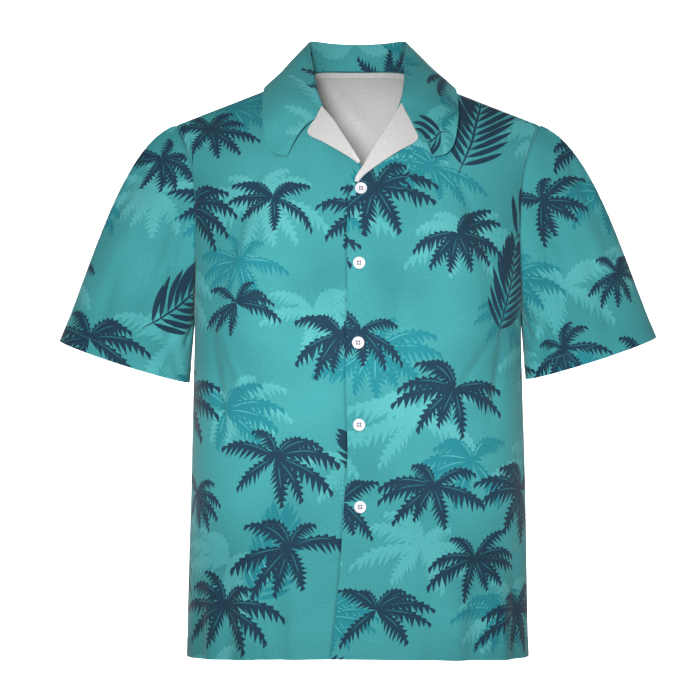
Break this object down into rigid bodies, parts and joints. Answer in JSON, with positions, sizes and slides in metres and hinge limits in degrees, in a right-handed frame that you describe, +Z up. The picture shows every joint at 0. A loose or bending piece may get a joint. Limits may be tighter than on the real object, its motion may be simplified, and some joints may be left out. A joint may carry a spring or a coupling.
{
  "type": "hawaiian shirt",
  "caption": "Short-sleeve printed shirt with an open camp collar, turned-back lapels and a buttoned front, filled out as worn with no wearer.",
  "frame": {"origin": "midway between the two high shoulder points, where a wearer's shoulders hold the shirt up", "axes": "+X to the wearer's left, -Y out of the front, +Z up"},
  "size_m": [0.756, 0.2468, 0.7836],
  "materials": {
    "printed_cloth": "matte printed poplin, teal with palms in three tones",
    "plain_cloth": "unprinted white wrong side of the same cloth",
    "button": "white polished resin with four holes"
  },
  "bodies": {
    "root": {"back": "printed_cloth", "front_left": "printed_cloth", "front_right": "printed_cloth", "sleeve_left": "printed_cloth", "sleeve_right": "printed_cloth", "collar": "printed_cloth", "lapel_left": "plain_cloth", "lapel_right": "plain_cloth", "button_1": "button", "button_2": "button", "button_3": "button", "button_4": "button", "button_5": "button"}
  },
  "joints": []
}
